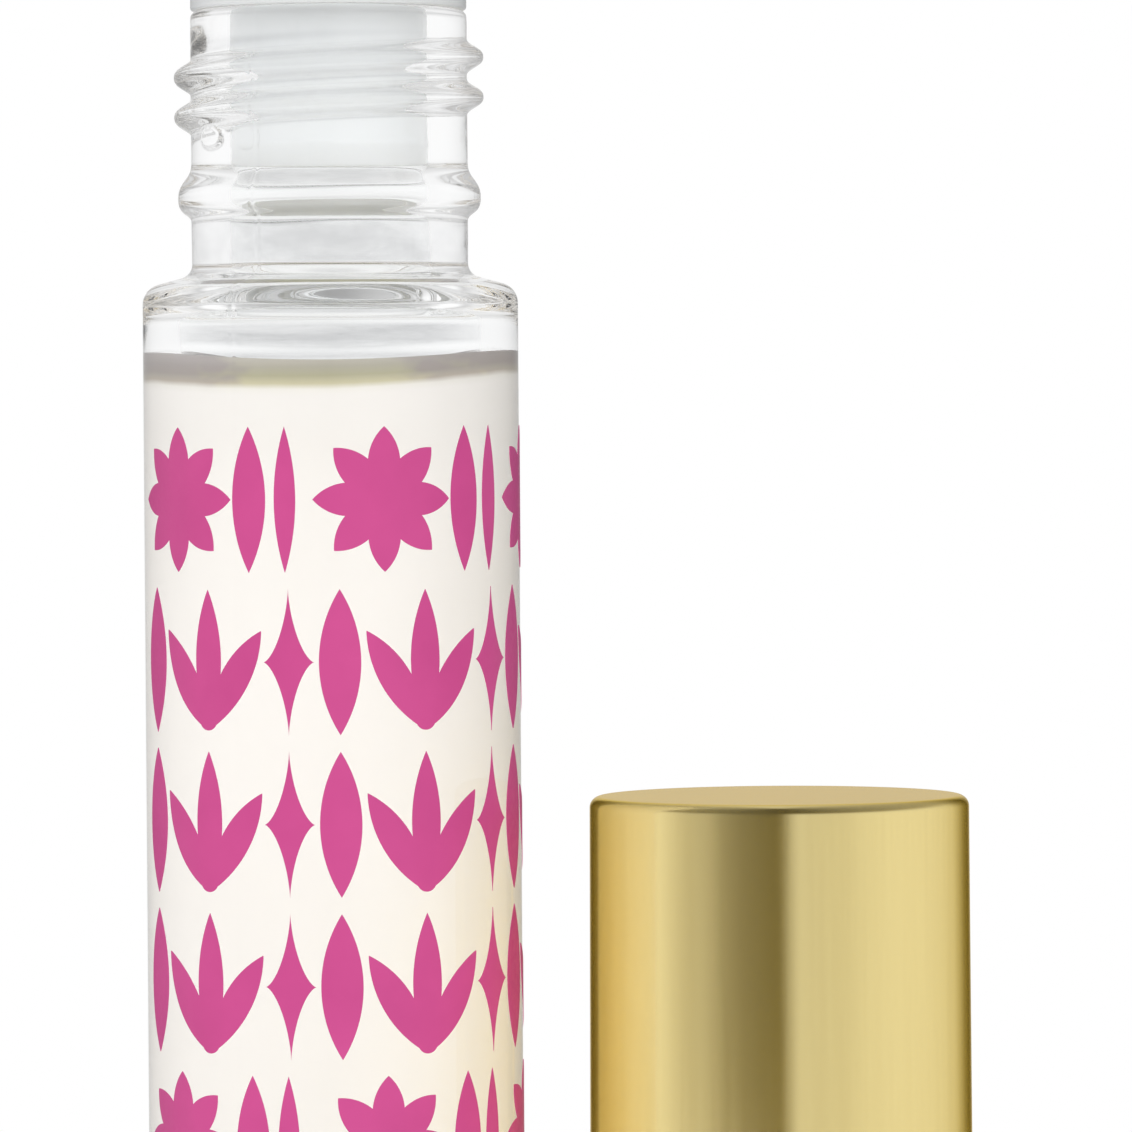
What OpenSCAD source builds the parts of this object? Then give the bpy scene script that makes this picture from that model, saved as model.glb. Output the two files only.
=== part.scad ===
// Roll-on lip gloss bottle with its screw cap taken off and stood beside it.
// Millimetres, +Z up. The origin is the centre of the bottle's foot, on the
// surface that bottle and cap stand on. The front of the bottle faces -Y and
// the cap stands at +X, mouth down.

/* [Bottle] */
// Outside diameter of the glass body
body_d = 20; // [19.8:0.1:20.2]
// Height of the shoulder's top edge above the foot
shoulder_h = 57; // [50:0.5:66]
// Thickness of the glass side wall
wall_t = 2; // [1.8:0.1:2.1]
// Thickness of the glass above the middle of the foot
base_t = 3.2; // [2.8:0.1:4]
// Radius of the rounded heel
heel_r = 1.6; // [1.4:0.1:1.8]
// Depth of the clear space between the shoulder and the gloss
fill_gap = 5.1; // [5.1:0.1:20]

/* [Neck] */
// Outside diameter of the neck between the threads
neck_d = 14.7; // [14.6:0.05:14.8]
// Height of the neck from the shoulder's top edge to the lip
neck_h = 14.55; // [14.4:0.05:14.7]
// Diameter of the bore that holds the roller housing
bore_d = 10.6; // [10.5:0.05:10.7]
// Rise of the screw thread in one turn
pitch = 2.13; // [2.1:0.01:2.16]
// Height of the thread ridge above the neck
ridge_h = 0.9; // [0.8:0.05:0.95]
// Width of the thread ridge where it meets the neck
ridge_w = 1.65; // [1.5:0.05:1.7]
// How far the transfer bead stands out from the neck
bead_h = 0.7; // [0.5:0.05:0.8]

/* [Printed pattern] */
// Thickness of the ink on the glass
ink_t = 0.05; // [0.04:0.01:0.1]
// Number of rows of ornament
rows = 5; // [3:1:5]
// Distance from one row to the next
row_pitch = 8.45; // [8.2:0.05:9]
// Height of one row of ornament
row_h = 7.6; // [7:0.1:7.7]
// Where the rows start, as an arc to the left of the front
row_start = -12.5; // [-14:0.5:-12]

/* [Roller] */
// Diameter of the rolling ball
ball_d = 9.8; // [9.78:0.01:9.82]
// Clearance round the ball in its socket
ball_gap = 0.08; // [0.06:0.01:0.1]
// Thickness of the housing's flange on the lip
flange_t = 1.2; // [1:0.1:1.4]

/* [Cap] */
// Height of the cap
cap_h = 29.6; // [29.2:0.1:32]
// Outside diameter of the metal shell at its open end
cap_d = 20.5; // [20.3:0.05:20.7]
// Outside diameter of the metal shell at its closed end
cap_top_d = 20.24; // [20.1:0.02:20.3]
// Thickness of the metal shell
shell_t = 0.4; // [0.3:0.05:0.45]
// Radius of the edge round the closed end
cap_edge_r = 0.6; // [0.5:0.05:0.8]
// Diameter of the smooth skirt inside the cap's mouth
skirt_d = 18; // [17.9:0.1:18.1]
// Distance between the bottle's axis and the cap's axis
cap_x = 23.75; // [23:0.25:40]

/* [Hidden] */
$fn = 96;

R = body_d / 2;
Ri = R - wall_t;
rn = neck_d / 2;
rb = bore_d / 2;
zs = shoulder_h;
zl = zs + neck_h;

// points along an arc in the (radius, height) plane
function arc(cx, cz, r, a0, a1, n) =
    [for (i = [0:n]) let (a = a0 + (a1 - a0) * i / n)
        [cx + r * cos(a), cz + r * sin(a)]];

// inside of the shoulder: out from the bore, nearly level, then down into the
// side wall
function inner_shoulder(n) = concat(
    arc(rb + 1.2, zs + 0.6, 1.2, 180, 255, n),
    arc(Ri - 1.2, zs - 2, 1.2, 75, 0, n));

// inside of the heel, from the wall down to the middle of the base
function inner_heel(n) =
    concat(arc(Ri - 2.2, base_t + 2, 2.2, 0, -90, n), [[0, base_t]]);

// transfer bead: [fraction of bead_h, height above the shoulder]
BEAD = [[0, 3.45], [0.21, 3.62], [0.64, 3.8], [0.9, 4.05], [1, 4.35],
        [1, 4.75], [0.9, 5.1], [0.64, 5.42], [0.29, 5.72], [0.07, 6], [0, 6.35]];

// ---- screw thread ridges -------------------------------------------------
// Faces that join rings of m points, ring after ring, with both ends closed.
function ring_faces(n, m) = concat(
    [for (i = [0:n - 1]) for (j = [0:m - 1])
        [i * m + j, (i + 1) * m + j, (i + 1) * m + (j + 1) % m]],
    [for (i = [0:n - 1]) for (j = [0:m - 1])
        [i * m + j, (i + 1) * m + (j + 1) % m, i * m + (j + 1) % m]],
    [[for (j = [0:m - 1]) j]],
    [[for (j = [m - 1:-1:0]) n * m + j]]);

// 0 at both ends of the ridge, 1 along its full-height length
function ramp(a, a0, a1, run) =
    min(1, max(0, min((a - a0) / run, (a1 - a) / run)));

// A ridge wound on radius r: half an ellipse h high and w wide. A negative h
// gives an inside thread. Its foot is buried 0.35 mm in the wall.
module ridge(r, h, w, z0, a0, a1, run, step = 15, m = 6) {
    s = sign(h);
    n = round((a1 - a0) / step);
    pts = [for (i = [0:n])
        let (a = a0 + (a1 - a0) * i / n,
             k = -0.1 + (abs(h) + 0.22) * ramp(a, a0, a1, run),
             z = z0 + pitch * a / 360)
        for (j = [0:m + 2])
            let (q = j <= m ? 180 * j / m : 0,
                 rr = j <= m ? r + s * (-0.12 + k * sin(q)) : r - s * 0.35,
                 dz = j <= m ? -w / 2 * cos(q) : (j == m + 1 ? w / 2 : -w / 2))
            [rr * cos(a), rr * sin(a), z + dz]];
    f = ring_faces(n, m + 3);
    polyhedron(points = pts, faces = s < 0 ? f : [for (t = f) [for (q = [len(t) - 1:-1:0]) t[q]]], convexity = 10);
}

// ---- bottle ---------------------------------------------------------------
module glass_bottle() {
    color([0.86, 0.9, 0.91, 0.45])
    union() {
        rotate_extrude()
        polygon(concat(
            // underside: a shallow push-up inside the foot ring
            [[0, 0.8], [2, 0.74], [4, 0.55], [5.5, 0.3], [6.4, 0]],
            arc(R - heel_r, heel_r, heel_r, -90, 0, 8),
            // rounded shoulder and the fillet under the neck
            arc(R - 1.1, zs - 1.05, 1.1, 0, 74, 8),
            arc(rn + 0.75, zs + 1.096, 0.75, 254, 180, 6),
            [for (p = BEAD) [rn + bead_h * p[0], zs + p[1]]],
            // lip
            arc(rn - 0.4, zl - 0.4, 0.4, 0, 90, 5),
            arc(rb + 0.45, zl - 0.45, 0.45, 90, 180, 5),
            inner_shoulder(8),
            inner_heel(8)));
        // right-hand thread, a little over two turns
        ridge(rn, ridge_h, ridge_w, zs + 9.92, -250, 545, 40);
        // small lug under the thread's lowest turn, at the front left
        translate([0, 0, zs + 7.68]) rotate([0, 0, 215])
        translate([rn - 0.45, 0, 0]) rotate([0, 90, 0])
        hull() {
            translate([0, -0.45, 0]) cylinder(r = 0.64, h = 0.62, $fn = 32);
            translate([0, 0.45, 0]) cylinder(r = 0.64, h = 0.62, $fn = 32);
        }
    }
}

// The gloss fills the inside up to a meniscus that climbs the wall 1.2 mm.
module gloss_fill() {
    zf = zs - fill_gap;
    color([0.95, 0.93, 0.86])
    rotate_extrude()
    polygon(concat(
        [[0, base_t]],
        arc(Ri - 2.2, base_t + 2, 2.2, -90, 0, 8),
        [for (i = [0:6]) let (t = i / 6)
            [Ri - 1.8 * t, zf + 1.2 * pow(1 - t, 2.4)]],
        [[0, zf]]));
}

// ---- printed pattern --------------------------------------------------------
// Outlines are drawn flat, x along the arc and y up, then wrapped on the glass.
module petal(w, h) {
    q = (h * h + w * w) / (4 * w);
    intersection() {
        translate([q - w / 2, 0]) circle(r = q);
        translate([w / 2 - q, 0]) circle(r = q);
    }
}

module flower(r, w, n) {
    for (k = [0:n - 1]) rotate(360 / n * k) translate([0, r / 2]) petal(w, r);
    circle(r = w * 0.62);
}

// Three leaves that rise from one foot, h high in all.
module sprig(h, w, spread) {
    for (k = [-1:1]) translate([0, -h / 2 + 0.15]) rotate(spread * k)
        translate([0, (h - 0.15) * (1 - 0.16 * abs(k)) / 2])
            petal(w, (h - 0.15) * (1 - 0.16 * abs(k)));
    translate([0, -h / 2 + 0.75]) circle(r = 0.6);
}

// Concave four-pointed star, 2a wide and 2b high.
module star(a, b) {
    polygon([for (i = [0:31]) let (t = i * 360 / 32)
        [a * sign(cos(t)) * pow(abs(cos(t)), 3), b * sign(sin(t)) * pow(abs(sin(t)), 3)]]);
}

// Radial prism of a flat outline: s is the arc from the front, z the height.
module wrap(s, z) {
    rotate([0, 0, 270 + s * 180 / (PI * R)])
    translate([R - 2, 0, z])
    rotate([0, 90, 0]) rotate([0, 0, 90])
    linear_extrude(3) children();
}

// Rows 1 and 5: flower, broad petal, slim petal, broad petal.
module row_a(z) {
    for (u = [0:2]) let (s = row_start + 12.1 * u) {
        wrap(s + 3.5, z) flower(row_h / 2 - 0.05, 1.75, 8);
        wrap(s + 8.35, z) petal(1.9, row_h);
        wrap(s + 10.35, z) petal(1.15, row_h);
    }
}

// Rows 2 to 4: broad petal, sprig, star.
module row_b(z) {
    for (u = [0:2]) let (s = row_start + 12.1 * u) {
        wrap(s + 1.1, z) petal(2.2, row_h);
        wrap(s + 5.75, z) sprig(row_h - 0.1, 1.7, 32);
        wrap(s + 10.5, z) star(1.35, row_h / 2);
    }
}

module printed_pattern() {
    top = zs - 11.35;   // middle of the highest row
    color([0.78, 0.33, 0.58])
    intersection() {
        difference() {
            translate([0, 0, heel_r]) cylinder(r = R + ink_t, h = zs - 4);
            translate([0, 0, heel_r - 1]) cylinder(r = R, h = zs);
        }
        union()
        for (k = [0:rows - 1]) let (z = top - row_pitch * k)
            if (k == 0 || k == 4) row_a(z); else row_b(z);
    }
}

// ---- roller -----------------------------------------------------------------
ball_r = ball_d / 2;
ball_z = zl + 2.05;      // centre of the ball
socket_r = ball_r + ball_gap;
collar_z = ball_z + 2;   // top of the collar, above the ball's middle

module roller_housing() {
    pr = rb - 0.1;
    color([0.93, 0.94, 0.94])
    difference() {
        rotate_extrude()
        polygon(concat(
            [[4.3, zl - 8.65], [pr - 0.2, zl - 8.65], [pr, zl - 8.2]],
            [for (k = [0:2]) for (p = [[0, -0.25], [0.1, -0.08], [0.1, 0.08], [0, 0.25]])
                [pr + p[0], zl - 7.2 + 2 * k + p[1]]],
            [[pr, zl], [rn - 0.15, zl], [rn, zl + 0.15],
             [rn, zl + flange_t - 0.15], [rn - 0.15, zl + flange_t],
             [rn - 0.95, zl + flange_t], [rn - 1.35, collar_z - 0.3],
             [rn - 1.6, collar_z], [0, collar_z], [0, zl - 3.55], [4.3, zl - 3.55]]));
        translate([0, 0, ball_z]) sphere(r = socket_r);
        translate([0, 0, zl - 4]) cylinder(r = 3, h = 3);
        // four feed grooves in the seat
        for (k = [0:3]) rotate([0, 0, 45 + 90 * k])
            translate([2.4, -0.3, zl - 3.6]) cube([1.4, 0.6, 2.4]);
    }
}

module roller_ball() {
    color([0.78, 0.79, 0.8])
    translate([0, 0, ball_z]) sphere(r = ball_r);
}

// ---- cap --------------------------------------------------------------------
function cap_r(z) = cap_d / 2 - (cap_d - cap_top_d) / 2 * z / cap_h;

module cap_shell() {
    ct = cap_h - cap_edge_r;
    color([0.83, 0.75, 0.48])
    translate([cap_x, 0, 0])
    rotate_extrude()
    polygon(concat(
        [[cap_r(0) - shell_t, 0], [cap_r(0) - 0.08, 0], [cap_r(0), 0.08]],
        arc(cap_r(ct) - cap_edge_r, ct, cap_edge_r, 0, 90, 8),
        [[0, cap_h], [0, cap_h - shell_t]],
        arc(cap_r(ct) - cap_edge_r, ct, cap_edge_r - shell_t, 90, 0, 4)));
}

web_z = cap_h - 7.35;    // underside of the web that backs the pad
sk = skirt_d / 2;
lr = sk - 0.25;          // inside radius above the skirt

module cap_liner() {
    o = shell_t + 0.03;
    zt = cap_h - o;
    color([0.95, 0.95, 0.94])
    translate([cap_x, 0, 0])
    union() {
        rotate_extrude()
        polygon([
            [sk + 0.4, 0.4], [cap_r(0.4) - o, 0.4], [cap_r(zt - 0.5) - o, zt - 0.5],
            [cap_r(zt) - o - 0.5, zt], [lr + 0.15, zt], [lr + 0.15, web_z + 1.1],
            [0, web_z + 1.1], [0, web_z], [lr, web_z],
            // bead that keeps the pad in
            [lr, web_z - 1.3], [lr - 0.4, web_z - 1.45], [lr - 0.4, web_z - 1.65],
            [lr, web_z - 1.8],
            [lr, 7.25], [sk, 7], [sk, 0.8]]);
        // inside right-hand thread
        ridge(lr, -1, 1.3, 10.585, -180, 270, 40);
        // ribs and boss that hold up the shell's flat end
        translate([0, 0, web_z + 1]) cylinder(r = 2.5, h = zt - web_z - 1);
        for (k = [0:5]) rotate([0, 0, 60 * k])
            translate([2, -0.45, web_z + 1]) cube([lr - 1.7, 0.9, zt - web_z - 1]);
    }
}

module cap_seal_pad() {
    pad_r = lr - 0.2;
    color([0.97, 0.97, 0.96])
    translate([cap_x, 0, web_z - 1.25])
    rotate_extrude()
    polygon([[0, 0], [pad_r - 0.12, 0], [pad_r, 0.12], [pad_r, 1.08], [pad_r - 0.12, 1.2], [0, 1.2]]);
}

glass_bottle();
gloss_fill();
printed_pattern();
roller_housing();
roller_ball();
cap_shell();
cap_liner();
cap_seal_pad();
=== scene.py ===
import math

import bmesh
import bpy
import numpy as np
from mathutils import Matrix, Vector

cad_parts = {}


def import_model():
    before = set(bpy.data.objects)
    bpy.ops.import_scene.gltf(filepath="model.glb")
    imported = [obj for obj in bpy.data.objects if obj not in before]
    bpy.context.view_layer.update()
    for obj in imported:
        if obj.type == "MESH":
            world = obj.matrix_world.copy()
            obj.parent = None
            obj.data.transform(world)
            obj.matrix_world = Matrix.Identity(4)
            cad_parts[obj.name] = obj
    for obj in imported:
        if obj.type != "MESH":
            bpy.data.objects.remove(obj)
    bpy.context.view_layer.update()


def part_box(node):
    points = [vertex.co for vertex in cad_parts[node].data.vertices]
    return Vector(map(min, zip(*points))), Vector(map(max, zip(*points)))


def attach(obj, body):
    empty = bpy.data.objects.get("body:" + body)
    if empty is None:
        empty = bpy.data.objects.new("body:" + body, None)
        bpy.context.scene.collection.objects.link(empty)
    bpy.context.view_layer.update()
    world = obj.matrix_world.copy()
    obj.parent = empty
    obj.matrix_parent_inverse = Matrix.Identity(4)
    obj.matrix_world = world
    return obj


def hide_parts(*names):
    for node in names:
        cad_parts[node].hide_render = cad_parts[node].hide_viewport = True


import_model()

MM = 0.001
PI = math.pi


def mm(node):
    """A node's box in millimetres."""
    lo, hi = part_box(node)
    return [v * 1000 for v in lo], [v * 1000 for v in hi]


# ---- places, read from the imported frame, with a few sizes given -------------
(_, _, _), (_, _, LIP) = mm("glass_bottle")
R = (mm("glass_bottle")[1][0] - mm("glass_bottle")[0][0]) / 2      # glass body radius
ZS = LIP - 14.55                                                    # shoulder edge
FILL_LO, FILL_HI = mm("gloss_fill")
RI = (FILL_HI[0] - FILL_LO[0]) / 2                                  # inside radius
FILL_TOP = FILL_HI[2]
HOUSE_TOP = mm("roller_housing")[1][2]
BALL_LO, BALL_HI = mm("roller_ball")
BALL_R = (BALL_HI[2] - BALL_LO[2]) / 2
BALL_Z = (BALL_HI[2] + BALL_LO[2]) / 2
CAP_LO, CAP_HI = mm("cap_shell")
CAP_X = (CAP_LO[0] + CAP_HI[0]) / 2
CAP_H = CAP_HI[2]
CAP_RM = (CAP_HI[0] - CAP_LO[0]) / 2                                # radius at the mouth
CAP_RT = CAP_RM - 0.13                                              # radius at the closed end
PAD_LO, PAD_HI = mm("cap_seal_pad")
RN, RB = 7.35, 5.3                                                  # neck and bore radius
PITCH = 2.13


# ---- mesh helpers -----------------------------------------------------------
def finish_mesh(me, angle=35.0):
    me.validate()
    me.polygons.foreach_set("use_smooth", [True] * len(me.polygons))
    me.set_sharp_from_angle(angle=math.radians(angle))
    me.update()


def link(name, me):
    ob = bpy.data.objects.new(name, me)
    bpy.context.scene.collection.objects.link(ob)
    return ob


def arc(cx, cz, r, a0, a1, n):
    t = np.radians(np.linspace(a0, a1, n + 1))
    return [(cx + r * math.cos(a), cz + r * math.sin(a)) for a in t]


def rev(name, prof, thetas=192, shift=None, closed=False, centre=(0, 0), angle=35.0):
    """A closed surface of revolution. prof is a list of (r, z) in mm, thetas a
    number of columns or their angles in degrees, and shift(r, z, theta) gives
    the radius and height at each point, for detail that isn't round."""
    th = np.linspace(0, 360, thetas, endpoint=False) if isinstance(thetas, int) else np.asarray(thetas, float)
    n = len(th)
    P = np.array(prof, float)
    co, rows = [], []
    c, s = np.cos(np.radians(th)), np.sin(np.radians(th))
    for r, z in P:
        if r < 1e-6:
            rows.append((len(co), 1))
            co.append((centre[0], centre[1], z))
            continue
        rr, zz = np.full(n, r), np.full(n, z)
        if shift is not None:
            rr, zz = shift(rr, zz, th)
        rows.append((len(co), n))
        co.extend(zip(centre[0] + rr * c, centre[1] + rr * s, zz))
    faces = []
    pairs = list(zip(rows[:-1], rows[1:])) + ([(rows[-1], rows[0])] if closed else [])
    for (a, na), (b, nb) in pairs:
        for i in range(n):
            j = (i + 1) % n
            if na == 1 and nb == 1:
                continue
            if na == 1:
                faces.append((a, b + j, b + i))
            elif nb == 1:
                faces.append((a + i, a + j, b))
            else:
                faces.append((a + i, a + j, b + j, b + i))
    me = bpy.data.meshes.new(name)
    me.from_pydata([(x * MM, y * MM, z * MM) for x, y, z in co], [], faces)
    bm = bmesh.new()
    bm.from_mesh(me)
    bmesh.ops.recalc_face_normals(bm, faces=bm.faces)
    bm.to_mesh(me)
    bm.free()
    finish_mesh(me, angle)
    return link(name, me)


def smooth01(x):
    x = np.clip(x, 0, 1)
    return x * x * (3 - 2 * x)


# ---- material helpers ---------------------------------------------------------
class Mat:
    """A node material with a few shorthands."""

    def __init__(self, name):
        self.m = bpy.data.materials.new(name)
        self.m.use_nodes = True
        self.nt = self.m.node_tree
        self.nt.nodes.clear()
        self.out = self.node("ShaderNodeOutputMaterial")
        self.co = self.node("ShaderNodeTexCoord").outputs["Object"]

    def node(self, kind, **kw):
        n = self.nt.nodes.new(kind)
        for k, v in kw.items():
            setattr(n, k, v)
        return n

    def link(self, a, b):
        self.nt.links.new(a, b)

    def mapped(self, scale):
        n = self.node("ShaderNodeMapping")
        n.inputs["Scale"].default_value = scale
        self.link(self.co, n.inputs["Vector"])
        return n.outputs[0]

    def noise(self, scale, detail=3.0, rough=0.5, vec=None, distortion=0.0):
        n = self.node("ShaderNodeTexNoise")
        n.inputs["Scale"].default_value = scale
        n.inputs["Detail"].default_value = detail
        n.inputs["Roughness"].default_value = rough
        n.inputs["Distortion"].default_value = distortion
        self.link(vec if vec is not None else self.co, n.inputs["Vector"])
        return n.outputs["Fac"]

    def ramp(self, fac, stops, mode="LINEAR"):
        n = self.node("ShaderNodeValToRGB")
        n.color_ramp.interpolation = mode
        e = n.color_ramp.elements
        while len(e) < len(stops):
            e.new(0.5)
        for el, (p, c) in zip(e, stops):
            el.position = p
            el.color = (*c, 1) if len(c) == 3 else c
        self.link(fac, n.inputs[0])
        return n.outputs[0]

    def maps(self, fac, a, b, c, d):
        n = self.node("ShaderNodeMapRange")
        for i, v in zip(("From Min", "From Max", "To Min", "To Max"), (a, b, c, d)):
            n.inputs[i].default_value = v
        self.link(fac, n.inputs["Value"])
        return n.outputs["Result"]

    def math(self, op, a, b=None, c=None):
        n = self.node("ShaderNodeMath", operation=op)
        for i, v in enumerate((a, b, c)):
            if v is None:
                continue
            if isinstance(v, (int, float)):
                n.inputs[i].default_value = v
            else:
                self.link(v, n.inputs[i])
        return n.outputs[0]

    def bump(self, height, strength, distance, normal=None):
        n = self.node("ShaderNodeBump")
        n.inputs["Strength"].default_value = strength
        n.inputs["Distance"].default_value = distance
        self.link(height, n.inputs["Height"])
        if normal is not None:
            self.link(normal, n.inputs["Normal"])
        return n.outputs[0]

    def principled(self, **kw):
        n = self.node("ShaderNodeBsdfPrincipled")
        for k, v in kw.items():
            k = k.replace("_", " ")
            if isinstance(v, (int, float)):
                n.inputs[k].default_value = v
            elif isinstance(v, tuple):
                n.inputs[k].default_value = (*v, 1) if len(v) == 3 and n.inputs[k].type == "RGBA" else v
            else:
                self.link(v, n.inputs[k])
        return n

    def surface(self, socket):
        self.link(socket, self.out.inputs["Surface"])
        return self.m


def put(ob, mat):
    ob.data.materials.clear()
    ob.data.materials.append(mat)


# ---- materials ----------------------------------------------------------------
def glass_material():
    k = Mat("clear_glass")
    wave = k.noise(90, 2, 0.4, k.mapped((1, 1, 0.35)))
    normal = k.bump(wave, 0.10, 0.0006)
    # painted shade: a faint grey under each turn of the thread, for the shade the ridges throw
    sep = k.node("ShaderNodeSeparateXYZ")
    k.link(k.co, sep.inputs[0])
    turn = k.math("MULTIPLY", k.math("ARCTAN2", sep.outputs["Y"], sep.outputs["X"]), -1 / (2 * PI))
    rise = k.math("MULTIPLY_ADD", sep.outputs["Z"], 1 / (PITCH * MM), -(ZS + 9.92) / PITCH)
    d = k.math("SUBTRACT", k.math("FRACT", k.math("ADD", k.math("ADD", turn, rise), 0.5)), 0.5)
    near = k.math("ABSOLUTE", k.math("ADD", d, 0.27))
    under = k.maps(near, 0.0, 0.17, 1.0, 0.0)
    low = k.maps(sep.outputs["Z"], (ZS + 7.9) * MM, (ZS + 8.7) * MM, 0.0, 1.0)
    high = k.maps(sep.outputs["Z"], (ZS + 12.7) * MM, (ZS + 13.3) * MM, 1.0, 0.0)
    shade_mask = k.math("MULTIPLY", under, k.math("MULTIPLY", low, high))
    # and painted shade: the thick base of the neck is greyed in swirls
    swirl = k.noise(230, 3, 0.55, k.mapped((1, 1, 2.6)), 0.6)
    base_lo = k.maps(sep.outputs["Z"], (ZS + 0.5) * MM, (ZS + 1.3) * MM, 0.0, 1.0)
    base_hi = k.maps(sep.outputs["Z"], (ZS + 3.0) * MM, (ZS + 4.2) * MM, 1.0, 0.0)
    neck_base_shade = k.math("MULTIPLY", k.math("MULTIPLY", base_lo, base_hi), k.maps(swirl, 0.38, 0.62, 0.30, 0.85))
    shade_mask = k.math("MAXIMUM", shade_mask, neck_base_shade)
    # painted shade: thin grey streaks on the wall above the liquid
    streak = k.noise(420, 3, 0.6, k.mapped((1, 1, 7)), 0.8)
    band_shade_lo = k.maps(sep.outputs["Z"], (ZS - 3.3) * MM, (ZS - 3.05) * MM, 0.0, 1.0)
    band_shade_hi = k.maps(sep.outputs["Z"], (ZS - 2.3) * MM, (ZS - 2.05) * MM, 1.0, 0.0)
    band_shade = k.math("MULTIPLY", band_shade_lo, band_shade_hi)
    low_lo = k.maps(sep.outputs["Z"], (ZS - 4.1) * MM, (ZS - 3.9) * MM, 0.0, 1.0)
    low_hi = k.maps(sep.outputs["Z"], (ZS - 3.75) * MM, (ZS - 3.45) * MM, 0.8, 0.0)
    band_shade = k.math("MAXIMUM", band_shade, k.math("MULTIPLY", low_lo, low_hi))
    ends = k.maps(k.math("ABSOLUTE", sep.outputs["X"]), 0.0062, 0.0086, 1.0, 0.15)
    band_shade = k.math("MULTIPLY", k.math("MULTIPLY", band_shade, ends), k.maps(streak, 0.34, 0.66, 0.65, 1.0))
    shade_mask = k.math("MAXIMUM", shade_mask, band_shade)
    # the glass's own faint tint, greyed where the painted shade above falls
    tint_and_shade = k.ramp(shade_mask, [(0.0, (0.985, 0.990, 0.990)), (0.5, (0.91, 0.915, 0.918)), (1.0, (0.78, 0.785, 0.79))])
    p = k.principled(Base_Color=tint_and_shade, Roughness=0.0, IOR=1.5, Transmission_Weight=1.0, Normal=normal)
    t = k.node("ShaderNodeBsdfTransparent")
    t.inputs["Color"].default_value = (0.97, 0.98, 0.98, 1)
    lp = k.node("ShaderNodeLightPath")
    mix = k.node("ShaderNodeMixShader")
    k.link(lp.outputs["Is Shadow Ray"], mix.inputs[0])
    k.link(p.outputs[0], mix.inputs[1])
    k.link(t.outputs[0], mix.inputs[2])
    return k.surface(mix.outputs[0])


def gloss_material():
    """Cream liquid. Near the surface it thins to a wedge on the glass, where a band
    of painted shade turns its colour to a grey olive, plum at the sides."""
    k = Mat("cream_gloss")
    sep = k.node("ShaderNodeSeparateXYZ")
    k.link(k.co, sep.inputs[0])
    rim = k.noise(220, 3, 0.5)
    # height, dropped towards the sides so that the band of painted shade is narrower there
    side = k.math("MULTIPLY", sep.outputs["X"], sep.outputs["X"])
    lean = k.math("MULTIPLY_ADD", sep.outputs["X"], -0.026, sep.outputs["Z"])
    lifted = k.math("MULTIPLY_ADD", side, -9.0, lean)
    h = k.math("ADD", lifted, k.math("MULTIPLY", k.math("SUBTRACT", rim, 0.5), 0.0003))
    t = k.maps(h, (ZS - 5.95) * MM, (ZS - 3.9) * MM, 0.0, 1.0)
    cloud = k.noise(60, 4, 0.55)
    base = k.ramp(cloud, [(0.3, (0.925, 0.900, 0.870)), (0.7, (0.940, 0.915, 0.888))])
    # painted shade: the band is grey olive in the middle and plum at the sides
    olive_shade = k.ramp(t, [(0.0, (1, 1, 1)), (0.16, (0.97, 0.97, 0.94)), (0.30, (0.68, 0.66, 0.47)),
                       (0.50, (0.50, 0.49, 0.35)), (0.72, (0.50, 0.49, 0.42)), (1.0, (0.62, 0.61, 0.58))])
    plum_shade = k.ramp(t, [(0.0, (1, 1, 1)), (0.16, (0.95, 0.95, 0.93)), (0.30, (0.52, 0.48, 0.42)),
                      (0.50, (0.40, 0.37, 0.355)), (0.72, (0.42, 0.39, 0.39)), (1.0, (0.52, 0.50, 0.51))])
    patch = k.noise(420, 2, 0.5, k.mapped((1, 1, 2.5)))
    far = k.maps(k.math("ADD", k.math("ABSOLUTE", sep.outputs["X"]), k.math("MULTIPLY", k.math("SUBTRACT", patch, 0.5), 0.009)),
                 0.0035, 0.0062, 0.0, 1.0)
    mixed = k.node("ShaderNodeMix", data_type="RGBA")
    k.link(far, mixed.inputs[0])
    k.link(olive_shade, mixed.inputs[6])
    k.link(plum_shade, mixed.inputs[7])
    meniscus_shade = mixed.outputs[2]
    mul = k.node("ShaderNodeMix", data_type="RGBA", blend_type="MULTIPLY")
    mul.inputs[0].default_value = 1.0
    k.link(base, mul.inputs[6])
    k.link(meniscus_shade, mul.inputs[7])
    p = k.principled(Base_Color=mul.outputs[2], Roughness=0.18, IOR=1.46, Specular_IOR_Level=0.35,
                     Normal=k.bump(k.noise(500, 2), 0.05, 0.0002))
    return k.surface(p.outputs[0])


def ink_material():
    k = Mat("magenta_ink")
    fine = k.noise(2600, 3, 0.6)
    blot = k.noise(260, 3, 0.5)
    col = k.ramp(blot, [(0.3, (0.475, 0.050, 0.208)), (0.7, (0.515, 0.058, 0.228))])
    rough = k.maps(fine, 0.3, 0.7, 0.34, 0.46)
    p = k.principled(Base_Color=col, Roughness=rough, IOR=1.5, Specular_IOR_Level=0.25,
                     Normal=k.bump(fine, 0.12, 0.00003))
    return k.surface(p.outputs[0])


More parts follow.
